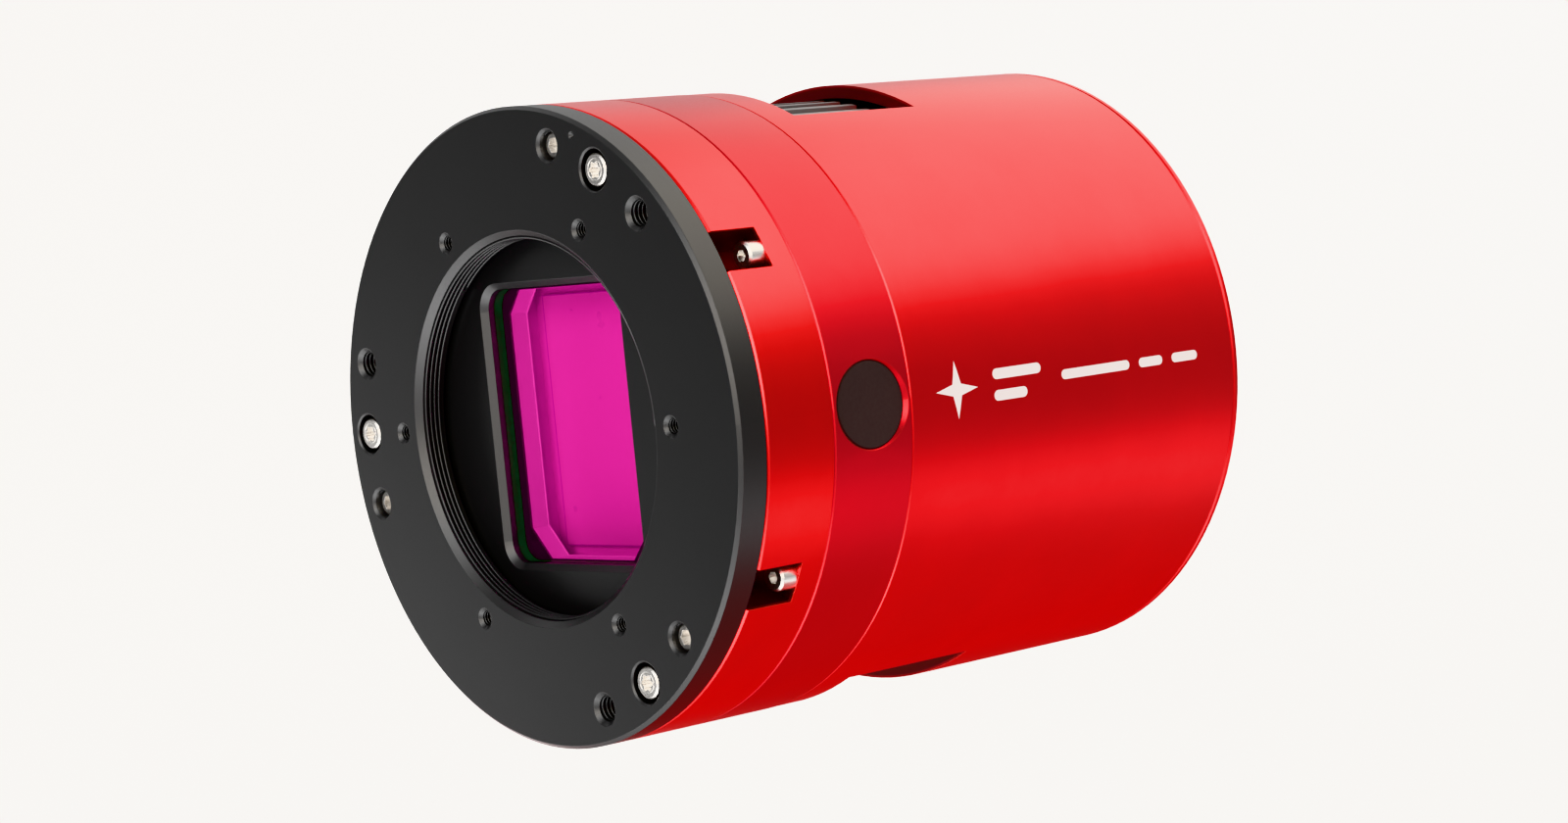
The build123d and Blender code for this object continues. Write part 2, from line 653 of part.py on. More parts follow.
def board_chips():
    """The larger chips and the memory on the front of the main board."""
    places = ((0, 32.0, 6.0, 4.5), (24.0, 22.0, 4.0, 4.0), (-24.0, 22.0, 3.5, 3.5),
              (24.0, -22.0, 5.0, 3.0), (-24.0, -22.0, 3.0, 5.0), (0, -32.0, 5.5, 5.5))
    return group(block(hx, BOARD_Y - 1.4, BOARD_Y, hz, x, z) for x, z, hx, hz in places)


def sensor_ribbon():
    """The flat cable from the sensor board to the main board, through the chamber's rear wall."""
    return block(0.15, SENSOR_BOARD_FRONT + BOARD_THICK + 1.5, BOARD_Y - 2.5, 6.0, RIBBON_X)


def ribbon_sockets():
    """The two flat-cable sockets, one on each board."""
    near = SENSOR_BOARD_FRONT + BOARD_THICK
    pair = []
    for y0, y1, cut0, cut1 in ((near, near + 2.5, near + 1.5, near + 3), (BOARD_Y - 3.5, BOARD_Y, BOARD_Y - 4, BOARD_Y - 2.5)):
        pair.append(block(1.2, y0, y1, 6.8, RIBBON_X) - block(0.15, cut0, cut1, 6.0, RIBBON_X))
    return group(pair)


def ribbon_seal():
    """The potting that seals the flat cable where it leaves the chamber."""
    body = block(1.0, CHAMBER_REAR, SINK_BASE[1], 7.0, RIBBON_X)
    return body - block(0.15, CHAMBER_REAR - 1, SINK_BASE[1] + 1, 6.0, RIBBON_X)


def usb_b_socket():
    """The data socket: a metal shell, its mouth with two cut corners, and a tongue."""
    x, z = USB_B_AT
    front = BOARD_Y + BOARD_THICK
    mouth = make_face(Polyline((-4.2, -3.8), (4.2, -3.8), (4.2, 2.0), (2.4, 3.8), (-2.4, 3.8), (-4.2, 2.0), close=True))
    body = block(6.0, front, SOCKET_REAR, 5.3, x, z)
    body -= slab(Pos(x, z) * mouth, SOCKET_REAR - 9.0, SOCKET_REAR + 1)
    return body + block(2.8, SOCKET_REAR - 9.5, SOCKET_REAR - 1.2, 1.5, x, z)


def usb_a_socket(x, z):
    """One accessory socket, with its tongue nearer the rim."""
    front = BOARD_Y + BOARD_THICK
    body = block(6.55, front, SOCKET_REAR, 2.85, x, z)
    body -= block(6.25, SOCKET_REAR - 9.0, SOCKET_REAR + 1, 2.55, x, z)
    return body + block(5.8, SOCKET_REAR - 9.5, SOCKET_REAR - 0.8, 0.9, x, z + 1.3)


def power_socket():
    """The round power socket with its centre pin."""
    x, z = POWER_AT
    front = BOARD_Y + BOARD_THICK
    body = block(4.5, front, COVER_FRONT - 1.0, 4.5, x, z) + disc(4.0, front + 1, SOCKET_REAR, x, z)
    body -= disc(3.2, SOCKET_REAR - 9.0, SOCKET_REAR + 1, x, z)
    return body + disc(1.05, SOCKET_REAR - 9.5, SOCKET_REAR - 1.0, x, z)


def rear_cover():
    """The rear cover: a flange over the shell's end, an air grille, socket openings and four screws."""
    front, rear, rim = COVER_FRONT, LENGTH, SHELL_REAR + SEAM_GAP
    cover = turned([
        (0, front), (COVER_R, front), (COVER_R, rim), (SHELL_R - COVER_RIM_CHAMFER, rim),
        (SHELL_R, rim + COVER_RIM_CHAMFER), (SHELL_R, rear - EDGE_CHAMFER),
        (SHELL_R - EDGE_CHAMFER, rear), (0, rear),
    ])
    for radius in (8.0, 12.5, 17.0, 21.5):
        ring = Circle(radius + 1.4) - Circle(radius - 1.4)
        for angle in (0, 60, 120):
            ring -= Rot(0, 0, angle) * Rectangle(60, 3.0)
        cover -= slab(ring, front - 1, rear + 1)
    cover -= block(6.2, front - 1, rear + 1, 5.5, *USB_B_AT)
    for x, z in USB_A_AT:
        cover -= block(6.75, front - 1, rear + 1, 3.05, x, z)
    cover -= disc(4.2, front - 1, rear + 1, *POWER_AT)
    for x, z in POST_AT:
        cover -= disc(1.6, front - 1, rear + 1, x, z)
        cover -= disc(2.9, COVER_SCREW_SEAT, rear + 1, x, z)
    return cover


def cover_screw(x, z):
    """A screw through the rear cover and a spacer into a board post."""
    seat = COVER_SCREW_SEAT
    head = disc(2.6, seat, seat + 1.6, x, z)
    shank = disc(1.25, BOARD_Y - 5, seat + 0.1, x, z)
    return head + shank - hexagon(2.0, seat + 0.7, seat + 1.7, x, z)


# ---- everything, one file for each sub-part -----------------------------------------------------

def main():
    os.makedirs("parts", exist_ok=True)
    save("tilt_plate", tilt_plate())
    for number, angle in enumerate(PUSH_ANGLES, 1):
        save(f"push_screw_{number}", push_screw(angle))
    for number, angle in enumerate(PULL_ANGLES, 1):
        save(f"pull_screw_{number}", pull_screw(angle))
    save("front_ring", front_ring())
    save("ring_screws", group(ring_screw(angle) for angle in NOTCH_ANGLES))
    save("window_plate", window_plate())
    save("window_glass", window_glass())
    save("window_mask", window_mask())
    save("window_heater", window_heater())
    save("chamber_seal", ring_seal(38.2, 0.62, SEAM_FRONT + SEAM_GAP + 0.65))
    save("chamber_housing", chamber_housing())
    save("sensor_package", sensor_package())
    save("sensor_die", sensor_die())
    save("sensor_cover_glass", sensor_cover_glass())
    save("sensor_board", sensor_board())
    save("sensor_posts", group(sensor_post(angle) for angle in range(45, 360, 90)))
    save("sensor_board_screws", group(sensor_board_screw(angle) for angle in range(45, 360, 90)))
    save("cold_finger", cold_finger())
    save("thermal_pad", thermal_pad())
    save("insulation_foam", insulation())
    for name, size in COOLER_PLATES.items():
        save(name, cooler_plate(*size))
    save("cooler_pellets_cold", pellets(11.5, 23.5, 24.9))
    save("cooler_pellets_hot", pellets(15.5, 25.6, 27.2))
    save("desiccant_plug", desiccant_plug())
    save("plug_seal", plug_seal())
    save("desiccant_cartridge", desiccant_cartridge())
    save("desiccant_tablets", desiccant_tablets())
    save("rear_shell", rear_shell())
    save("heat_sink", heat_sink())
    save("heat_sink_seal", ring_seal(29.5, 0.62, SINK_BASE[0] + 0.65))
    save("heat_sink_screws", group(sink_screw(x, z) for x, z in SINK_SCREWS))
    save("fan_frame", fan_frame())
    save("fan_rotor", fan_rotor())
    corners = [(x, z) for x in (-FAN_SCREW_AT, FAN_SCREW_AT) for z in (-FAN_SCREW_AT, FAN_SCREW_AT)]
    save("fan_screws", group(fan_screw(x, z) for x, z in corners))
    save("board_posts", group(board_post(x, z) for x, z in POST_AT))
    save("board_spacers", group(board_spacer(x, z) for x, z in POST_AT))
    save("main_board", main_board())
    save("board_chips", board_chips())
    save("sensor_ribbon", sensor_ribbon())
    save("ribbon_sockets", ribbon_sockets())
    save("ribbon_seal", ribbon_seal())
    save("usb_b_socket", usb_b_socket())
    save("usb_a_sockets", group(usb_a_socket(x, z) for x, z in USB_A_AT))
    save("power_socket", power_socket())
    save("rear_cover", rear_cover())
    save("cover_screws", group(cover_screw(x, z) for x, z in POST_AT))


main()
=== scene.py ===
import bmesh
import bpy
import json
import math
from mathutils import Matrix, Vector


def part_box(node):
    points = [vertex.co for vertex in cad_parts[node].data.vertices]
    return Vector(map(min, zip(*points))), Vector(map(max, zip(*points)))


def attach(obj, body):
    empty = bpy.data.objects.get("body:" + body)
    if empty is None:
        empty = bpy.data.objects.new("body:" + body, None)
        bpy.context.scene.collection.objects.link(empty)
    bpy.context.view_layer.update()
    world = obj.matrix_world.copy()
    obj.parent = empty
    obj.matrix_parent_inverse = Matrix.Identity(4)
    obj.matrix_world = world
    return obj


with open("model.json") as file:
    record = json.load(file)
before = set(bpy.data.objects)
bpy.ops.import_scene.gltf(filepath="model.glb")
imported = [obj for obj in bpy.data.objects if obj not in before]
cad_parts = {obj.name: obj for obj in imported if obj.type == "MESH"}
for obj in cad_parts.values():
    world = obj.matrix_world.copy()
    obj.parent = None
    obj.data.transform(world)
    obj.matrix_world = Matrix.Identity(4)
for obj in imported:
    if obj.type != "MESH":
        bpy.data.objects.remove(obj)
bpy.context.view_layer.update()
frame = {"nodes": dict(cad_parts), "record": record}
nodes = frame["nodes"]
scene = bpy.context.scene
scene.view_settings.view_transform = "Khronos PBR Neutral"

MM = 0.001

# ---- camera ---------------------------------------------------------------------------------

CAMERA_AT = (0.36917, -0.27121, 0.02653)
CAMERA_BACK = (0.756357, -0.651409, 0.059923)
CAMERA_UP = (0.019168, 0.113633, 0.993338)
LENS = 75.45


def make_camera():
    data = bpy.data.cameras.new("camera")
    data.lens = LENS
    data.sensor_width = 36
    data.clip_start = 0.01
    back = Vector(CAMERA_BACK).normalized()
    right = Vector(CAMERA_UP).cross(back).normalized()
    up = back.cross(right)
    camera = bpy.data.objects.new("camera", data)
    rotation = Matrix((right, up, back)).transposed().to_4x4()
    camera.matrix_world = Matrix.Translation(CAMERA_AT) @ rotation
    scene.collection.objects.link(camera)
    scene.camera = camera


make_camera()


# ---- material helpers -------------------------------------------------------------------------

class Nodes:
    """A node tree, with short calls for the nodes it is made of."""

    def __init__(self, tree):
        self.tree = tree

    def node(self, kind, **values):
        made = self.tree.nodes.new(kind)
        for key, value in values.items():
            setattr(made, key, value)
        return made

    def link(self, a, b):
        self.tree.links.new(a, b)

    def fill(self, socket, value):
        """Sets a socket to a number or tuple, or links another socket to it."""
        if isinstance(value, bpy.types.NodeSocket):
            self.link(value, socket)
        else:
            socket.default_value = value

    def math(self, operation, a, b=0.0):
        made = self.node("ShaderNodeMath", operation=operation)
        self.fill(made.inputs[0], a)
        self.fill(made.inputs[1], b)
        return made.outputs[0]

    def dot(self, a, b):
        made = self.node("ShaderNodeVectorMath", operation="DOT_PRODUCT")
        self.fill(made.inputs[0], a)
        self.fill(made.inputs[1], b)
        return made.outputs["Value"]

    def ranged(self, value, low, high, from_low=0.3, from_high=0.7, smooth=False):
        """A value moved from one range to another, and held inside it."""
        made = self.node("ShaderNodeMapRange")
        if smooth:
            made.interpolation_type = "SMOOTHSTEP"
        limits = {"From Min": from_low, "From Max": from_high, "To Min": low, "To Max": high}
        for key, number in limits.items():
            made.inputs[key].default_value = number
        self.link(value, made.inputs["Value"])
        return made.outputs["Result"]


class Mat(Nodes):
    """A node material around one principled shader."""

    def __init__(self, name, colour, roughness, metallic=0.0, **sockets):
        self.m = bpy.data.materials.new(name)
        self.m.use_nodes = True
        super().__init__(self.m.node_tree)
        self.shader = self.tree.nodes["Principled BSDF"]
        self.set("Base Color", (*colour, 1))
        self.set("Roughness", roughness)
        self.set("Metallic", metallic)
        for key, value in sockets.items():
            self.set(key.replace("_", " "), value)
        self.place = self.node("ShaderNodeTexCoord").outputs["Object"]

    def set(self, socket, value):
        self.shader.inputs[socket].default_value = value

    def stretched(self, scale):
        """The object's coordinates, scaled along each axis."""
        mapping = self.node("ShaderNodeMapping")
        mapping.inputs["Scale"].default_value = scale
        self.link(self.place, mapping.inputs["Vector"])
        return mapping.outputs["Vector"]

    def noise(self, scale, detail=3.0, rough=0.5, stretch=(1, 1, 1)):
        made = self.node("ShaderNodeTexNoise")
        made.inputs["Scale"].default_value = scale
        made.inputs["Detail"].default_value = detail
        made.inputs["Roughness"].default_value = rough
        self.link(self.stretched(stretch), made.inputs["Vector"])
        return made.outputs["Fac"]

    def voronoi(self, scale):
        made = self.node("ShaderNodeTexVoronoi")
        made.inputs["Scale"].default_value = scale
        self.link(self.place, made.inputs["Vector"])
        return made.outputs["Distance"]

    def mix(self, factor, a, b):
        """Two colours mixed by a factor. Each is a colour or a socket."""
        made = self.node("ShaderNodeMix", data_type="RGBA")
        self.link(factor, made.inputs["Factor"])
        for socket, value in ((made.inputs[6], a), (made.inputs[7], b)):
            if isinstance(value, tuple):
                socket.default_value = (*value, 1)
            else:
                self.link(value, socket)
        return made.outputs[2]

    def soften(self, radius):
        """Rounds the shading of sharp edges, so that they catch the light."""
        bevel = self.node("ShaderNodeBevel", samples=4)
        bevel.inputs["Radius"].default_value = radius
        self.link(bevel.outputs["Normal"], self.shader.inputs["Normal"])

    def bump(self, height, strength, distance):
        made = self.node("ShaderNodeBump")
        made.inputs["Strength"].default_value = strength
        made.inputs["Distance"].default_value = distance
        self.link(height, made.inputs["Height"])
        old = self.shader.inputs["Normal"].links
        if old:
            self.link(old[0].from_socket, made.inputs["Normal"])
        self.link(made.outputs["Normal"], self.shader.inputs["Normal"])

    def into(self, socket, value):
        self.link(value, self.shader.inputs[socket])

    def edge_wear_and_highlight(self, width, amount):
        """How much of the lighter edge colour shows: only along sharp edges, and broken up; partly edge
        wear, partly a painted highlight.
        """
        bevel = self.node("ShaderNodeBevel", samples=4)
        bevel.inputs["Radius"].default_value = width
        geometry = self.node("ShaderNodeNewGeometry")
        same = self.dot(bevel.outputs["Normal"], geometry.outputs["Normal"])
        edge = self.ranged(same, 1.0, 0.0, 0.75, 0.98)
        broken = self.ranged(self.noise(900, 4, 0.7), 0.2, 1.0)
        return self.math("MULTIPLY", self.math("MULTIPLY", edge, broken), amount)


BLACK = (0.0115, 0.0115, 0.0118)
# lighter colours along sharp edges: partly edge wear, partly a painted highlight
BLACK_EDGE = (0.10, 0.10, 0.10)
RED_LIGHT = (0.95, 0.25, 0.2)
BARE_METAL = (0.75, 0.74, 0.74)
# how much of the colour is left inside a pocket as painted shade, and how soon it changes at the pocket's
# mouth
POCKET_SHADE = 0.35
POCKET_STEP = 0.2 * MM
BARE_STEP = 0.02 * MM
# the clear sides of coated glass, and how soon the coating starts
UNCOATED = (0.97, 0.985, 0.97)
COATING_STEP = 0.2 * MM
# the half sizes of the sensor's live area along X and Z, and how soon its border starts
LIVE_HALF_X = 12.0 * MM
LIVE_HALF_Z = 18.0 * MM
BORDER_STEP = 0.1 * MM


def anodised(name, colour, light, roughness, metallic, grain=0.05, coat=0.0, pocket_r=None):
    """Bead-blasted anodised aluminium: fine grain, uneven dye, and lighter broken edges that are partly wear
    and partly a painted highlight.

    Nearer to the axis than pocket_r it is darker, a painted shade inside notches and vents."""
    m = Mat(name, colour, roughness, metallic, Coat_Weight=coat, Coat_Roughness=0.55)
    cloud = m.ranged(m.noise(60, 5, 0.6), 0.0, 1.0)
    dye = m.mix(cloud, tuple(c * 0.96 for c in colour), tuple(min(1, c * 1.04) for c in colour))
    # lighter along sharp edges: partly edge wear, partly a painted highlight
    dye_and_painted_light = m.mix(m.edge_wear_and_highlight(0.00015, 0.5), dye, light)
    # painted shade: darker nearer to the axis, inside notches and vents
    if pocket_r:
        across = m.node("ShaderNodeVectorMath", operation="LENGTH")
        m.link(m.stretched((1, 0, 1)), across.inputs[0])
        outside = m.ranged(across.outputs["Value"], 0, 1, pocket_r - POCKET_STEP, pocket_r)
        dye_and_painted_light = m.mix(outside, tuple(c * POCKET_SHADE for c in colour), dye_and_painted_light)
    m.into("Base Color", dye_and_painted_light)
    m.into("Roughness", m.ranged(m.noise(2500, 2, 0.5), roughness - 0.015, roughness + 0.02))
    m.soften(0.00012)
    m.bump(m.noise(9000, 2, 0.6), grain, 0.00001)
    return m


def black_plate(name, bare_from=None):
    """Satin black anodising. From a depth along Y on, if one is given, the metal is bare and pale."""
    m = anodised(name, BLACK, BLACK_EDGE, 0.36, 0.0, 0.10)
    m.set("Specular IOR Level", 0.8)
    if bare_from:
        parts = m.node("ShaderNodeSeparateXYZ")
        m.link(m.place, parts.inputs[0])
        bare = m.ranged(parts.outputs["Y"], 0, 1, bare_from - BARE_STEP, bare_from + BARE_STEP)
        old = m.shader.inputs["Base Color"].links[0].from_socket
        m.into("Base Color", m.mix(bare, old, BARE_METAL))
    return m.m


def steel(name, colour, roughness, scale=1.0):
    """Turned stainless steel: fine rings across the axis and small scratches."""
    m = Mat(name, colour, roughness, 1.0)
    fine = m.noise(5000 * scale, 3, 0.6, (1, 0.15, 1))
    m.into("Roughness", m.ranged(fine, roughness - 0.05, roughness + 0.07))
    m.into("Base Color", m.mix(m.ranged(m.noise(400, 4, 0.6), 0, 1), tuple(c * 0.9 for c in colour), colour))
    m.soften(0.0001)
    m.bump(m.noise(6000, 3, 0.7, (1, 0.2, 1)), 0.08, 0.00001)
    return m.m


def moulded(name, colour, roughness, grain=4000, depth=0.00003, spread=0.12):
    """Moulded plastic or rubber: an even fine texture and slight colour drift."""
    m = Mat(name, colour, roughness)
    drift = m.ranged(m.noise(80, 4, 0.6), 0, 1)
    low = tuple(c * (1 - spread) for c in colour)
    high = tuple(min(1, c * (1 + spread)) for c in colour)
    m.into("Base Color", m.mix(drift, low, high))
    m.into("Roughness", m.ranged(m.noise(grain / 3, 3, 0.6), roughness - 0.06, roughness + 0.08))
    m.bump(m.voronoi(grain), 0.25, depth)
    return m.m


def board_green(name):
    """Solder mask over copper tracks: straight tracks show as faint raised lines."""
    m = Mat(name, (0.01, 0.05, 0.035), 0.32, 0.0, Coat_Weight=0.4, Coat_Roughness=0.15)
    brick = m.node("ShaderNodeTexBrick", offset=0.37)
    brick.inputs["Scale"].default_value = 240
    brick.inputs["Mortar Size"].default_value = 0.08
    swap = m.node("ShaderNodeMapping")
    swap.inputs["Rotation"].default_value = (math.pi / 2, 0, 0)
    m.link(m.place, swap.inputs["Vector"])
    m.link(swap.outputs["Vector"], brick.inputs["Vector"])
    m.into("Base Color", m.mix(brick.outputs["Fac"], (0.008, 0.045, 0.03), (0.02, 0.11, 0.06)))
    m.bump(brick.outputs["Fac"], 0.3, 0.00003)
    return m.m


def pane(name, tint, edge, mirror, share, coated_from=None):
    """Glass with a solid ground edge. The coating tints it all over, or from a depth along Y on."""
    m = Mat(name, mirror, 0.04, 1.0)
    geometry = m.node("ShaderNodeNewGeometry")
    facing_parts = m.node("ShaderNodeSeparateXYZ")
    m.link(geometry.outputs["Normal"], facing_parts.inputs[0])
    side = m.ranged(m.math("ABSOLUTE", facing_parts.outputs["Y"]), 1.0, 0.0, 0.3, 0.9)
    ground = m.mix(m.ranged(m.noise(700, 4, 0.6), 0, 1), tuple(c * 0.7 for c in edge), edge)
    m.into("Base Color", m.mix(side, mirror, ground))
    m.into("Metallic", m.ranged(side, 1.0, 0.0, 0, 1))
    smear = m.ranged(m.noise(150, 5, 0.7), 0.02, 0.05)
    m.into("Roughness", m.math("MAXIMUM", smear, m.ranged(side, 0.0, 0.35, 0, 1)))
    clear = m.node("ShaderNodeBsdfTransparent")
    clear.inputs["Color"].default_value = (*tint, 1)
    if coated_from:
        parts = m.node("ShaderNodeSeparateXYZ")
        m.link(m.place, parts.inputs[0])
        low, high = coated_from - COATING_STEP, coated_from + COATING_STEP
        coated = m.ranged(parts.outputs["Y"], 0, 1, low, high)
        m.link(m.mix(coated, UNCOATED, tint), clear.inputs["Color"])
    both = m.node("ShaderNodeMixShader")
    facing = m.node("ShaderNodeLayerWeight").outputs["Facing"]
    gloss = m.math("ADD", m.math("MULTIPLY", m.math("POWER", facing, 4.0), 0.5), share)
    m.fill(both.inputs[0], m.math("MAXIMUM", side, gloss))
    m.link(clear.outputs[0], both.inputs[1])
    m.link(m.shader.outputs[0], both.inputs[2])
    m.link(both.outputs[0], m.tree.nodes["Material Output"].inputs["Surface"])
    return m.m


def sensor_face(name):
    """The light-sensitive face, with a fine grid and a darker border."""
    m = Mat(name, (0.9, 0.8, 0.88), 0.30, 0.15)
    cells = m.node("ShaderNodeTexChecker")
    cells.inputs["Scale"].default_value = 4000
    m.link(m.place, cells.inputs["Vector"])
    grid = m.mix(cells.outputs["Fac"], (0.97, 0.97, 0.94), (0.92, 0.95, 0.96))
    parts = m.node("ShaderNodeSeparateXYZ")
    m.link(m.place, parts.inputs[0])
    aside = m.math("ABSOLUTE", parts.outputs["X"])
    above = m.math("ABSOLUTE", parts.outputs["Z"])
    past_x = m.ranged(aside, 0, 1, LIVE_HALF_X, LIVE_HALF_X + BORDER_STEP)
    past_z = m.ranged(above, 0, 1, LIVE_HALF_Z, LIVE_HALF_Z + BORDER_STEP)
    border = m.math("MAXIMUM", past_x, past_z)
    m.into("Base Color", m.mix(border, grid, (0.56, 0.20, 0.62)))
    m.into("Roughness", m.ranged(m.noise(200, 3, 0.5), 0.27, 0.33))
    m.bump(m.noise(12000, 1, 0.5), 0.03, 0.00001)
    return m.m


def milled(name, colour, roughness):
    """Milled metal: long straight tool marks along Y."""
    m = Mat(name, colour, roughness, 1.0)
    marks = m.noise(2500, 3, 0.6, (1, 0.04, 1))
    m.into("Roughness", m.ranged(marks, roughness - 0.08, roughness + 0.1))
    m.into("Base Color", m.mix(m.ranged(marks, 0, 1), tuple(c * 0.8 for c in colour), colour))
    m.bump(marks, 0.2, 0.00002)
    return m.m


# where the window's coating and the window plate's bare metal start, along Y
COATED_FROM = 7.7 * MM
BARE_FROM = 8.75 * MM
# the radii inside which the ring's notches and the shell's vents are darker, as painted shade
RING_POCKET_R = 44.6 * MM
SHELL_POCKET_R = 44.7 * MM
RED_RING = (0.84, 0.005, 0.006)
RED_HOUSING = (0.64, 0.003, 0.012)
RED_SHELL = (0.80, 0.004, 0.008)

WINDOW_TINT = (0.99, 0.25, 0.68)
WINDOW_EDGE = (0.018, 0.08, 0.032)
WINDOW_MIRROR = (0.9, 0.35, 0.75)

MATERIALS = {
    "black_anodised": black_plate("black_anodised"),
    "red_anodised": anodised("red_anodised", RED_SHELL, RED_LIGHT, 0.30, 1.0, 0.04, 0.5).m,
    "screw_steel": steel("screw_steel", (0.92, 0.89, 0.85), 0.30),
    "dark_steel": steel("dark_steel", (0.10, 0.10, 0.11), 0.35),
    "coated_glass": pane("coated_glass", WINDOW_TINT, WINDOW_EDGE, WINDOW_MIRROR, 0.03, COATED_FROM),
    "cover_glass": pane("cover_glass", (0.98, 0.96, 0.98), (0.5, 0.5, 0.5), (0.95, 0.85, 0.95), 0.03),
    "sensor_silicon": sensor_face("sensor_silicon"),
    "ceramic": moulded("ceramic", (0.86, 0.80, 0.88), 0.45, 6000, 0.00001, 0.03),
    "cooler_alloy": milled("cooler_alloy", (0.3, 0.3, 0.31), 0.5),
    "circuit_board": board_green("circuit_board"),
    "chip_plastic": moulded("chip_plastic", (0.02, 0.02, 0.021), 0.5, 5000),
    "brass_posts": milled("brass_posts", (0.72, 0.55, 0.27), 0.3),
    "copper": milled("copper", (0.85, 0.42, 0.28), 0.3),
    "sink_aluminium": milled("sink_aluminium", (0.29, 0.275, 0.27), 0.34),
    "rubber": moulded("rubber", (0.02, 0.02, 0.02), 0.7, 3000),
    "plug_rubber": moulded("plug_rubber", (0.035, 0.022, 0.022), 0.6, 5000, 0.00002),
    "foam": moulded("foam", (0.03, 0.03, 0.032), 0.9, 1500, 0.0002),
    "heater_film": moulded("heater_film", (0.7, 0.6, 0.5), 0.35, 2500, 0.00001),
    "clear_plastic": moulded("clear_plastic", (0.8, 0.81, 0.8), 0.3, 4000, 0.00001, 0.03),
    "tablet": moulded("tablet", (0.85, 0.83, 0.78), 0.8, 3500, 0.0001, 0.05),
    "fan_plastic": moulded("fan_plastic", (0.022, 0.022, 0.024), 0.45, 3500),
    "socket_metal": steel("socket_metal", (0.72, 0.72, 0.73), 0.28, 0.6),
    "socket_plastic": moulded("socket_plastic", (0.02, 0.02, 0.02), 0.45, 4500),
}
# pieces that differ from the rest of their slot
OWN_MATERIALS = {
    "front_ring": anodised("red_front", RED_RING, RED_LIGHT, 0.29, 1.0, 0.04, 0.5, RING_POCKET_R).m,
    "rear_shell": anodised("red_shell", RED_SHELL, RED_LIGHT, 0.30, 1.0, 0.04, 0.5, SHELL_POCKET_R).m,
    "chamber_housing": anodised("red_middle", RED_HOUSING, RED_LIGHT, 0.33, 1.0, 0.04, 0.5).m,
    "window_plate": black_plate("black_window", BARE_FROM),
}

for part in frame["record"]["subparts"]:
    mesh = nodes[part["node"]].data
    mesh.materials.clear()
    mesh.materials.append(OWN_MATERIALS.get(part["node"], MATERIALS[part["material_slot"]]))


# ---- threads, baffle and print ----------------------------------------------------------------

def added(name, mesh, material):
    """An object made of a mesh, placed in the scene."""
    mesh.materials.append(material)
    made = bpy.data.objects.new(name, mesh)
    scene.collection.objects.link(made)
    return made


def piece(name, vertices, faces, material, body, smooth=False):
    """A mesh object that rides a body."""
    mesh = bpy.data.meshes.new(name)
    mesh.from_pydata(vertices, [], faces)
    mesh.polygons.foreach_set("use_smooth", [smooth] * len(mesh.polygons))
    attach(added(name, mesh, material), body)


def ridge(vertices, faces, centre, root, crest, pitch, ends, steps):
    """Adds one helical ridge of a female thread, closed at both ends."""
    x, z = centre
    half = pitch * 0.45
    flat = pitch * 0.04
    low, high = ends[0] + half, ends[1] - half
    count = int(steps * (high - low) / pitch)
    first = len(vertices)
    for i in range(count + 1):
        turn = 2 * math.pi * i / steps
        y = low + (high - low) * i / count
        for radius, along in ((root, y - half), (crest, y - flat), (crest, y + flat), (root, y + half)):
            across, up = radius * math.cos(turn), radius * math.sin(turn)
            vertices.append(((x + across) * MM, along * MM, (z + up) * MM))
    for i in range(count):
        a = first + 4 * i
        for j in range(4):
            k = (j + 1) % 4
            faces.append((a + j, a + k, a + 4 + k, a + 4 + j))
    last = first + 4 * count
    faces.append((first + 3, first + 2, first + 1, first))
    faces.append((last, last + 1, last + 2, last + 3))


def polar(radius, degrees):
    """A point in the (x, z) plane. 0 degrees is +X and 90 is +Z."""
    return radius * math.cos(math.radians(degrees)), radius * math.sin(math.radians(degrees))


# Threads, in millimetres. Of the front one: root radius, crest radius, pitch and depth of its start.
FRONT_THREAD = (27.02, 26.6, 0.75, 0.6)
FRONT_STEPS = 120
# Of the holes: circle radius, first angle, count, root radius, crest radius, pitch, start, end, steps.
# An end of None is the plate's rear. The last row is the tilt screws' holes, threaded only in front of
# the screws.
HOLE_THREADS = (
    (31.15, 0, 6, 1.07, 0.88, 0.45, 0.35, None, 24),
    (40.2, 45, 3, 1.82, 1.58, 0.7, 0.45, None, 32),
    (40.2, 75, 3, 2.02, 1.85, 0.5, 0.45, 1.1, 32),
)


def threads():
    """The threads of the front opening, the six small holes and the six larger ones."""
    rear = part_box("tilt_plate")[1][1] / MM
    root, crest, pitch, start = FRONT_THREAD
    vertices, faces = [], []
    ridge(vertices, faces, (0, 0), root, crest, pitch, (start, rear), FRONT_STEPS)
    piece("front_thread", vertices, faces, MATERIALS["black_anodised"], "tilt_plate", True)
    vertices, faces = [], []
    for circle, first, count, root, crest, pitch, start, end, steps in HOLE_THREADS:
        for i in range(count):
            centre = polar(circle, first + 360 / count * i)
            ridge(vertices, faces, centre, root, crest, pitch, (start, end or rear), steps)
    piece("hole_threads", vertices, faces, MATERIALS["black_anodised"], "tilt_plate", True)


def star(y, z, outer, inner, points):
    """The outline of a star with sharp points, in (y, z) millimetres."""
    outline = []
    for i in range(2 * points):
        radius = inner if i % 2 else outer
        turn = math.pi * i / points
        outline.append((y + radius * math.cos(turn), z + radius * math.sin(turn)))
    return outline


def bar(y0, y1, z, height):
    """The outline of a bar with round ends."""
    outline = []
    r = height / 2
    for end, start in ((y1 - r, -90), (y0 + r, 90)):
        for i in range(9):
            turn = math.radians(start + 22.5 * i)
            outline.append((end + r * math.cos(turn), z + r * math.sin(turn)))
    return outline


# millimetres: the print's strips are this narrow, and a corner this near to a cut counts as on it
STRIP = 0.5
ON_THE_CUT = 0.001


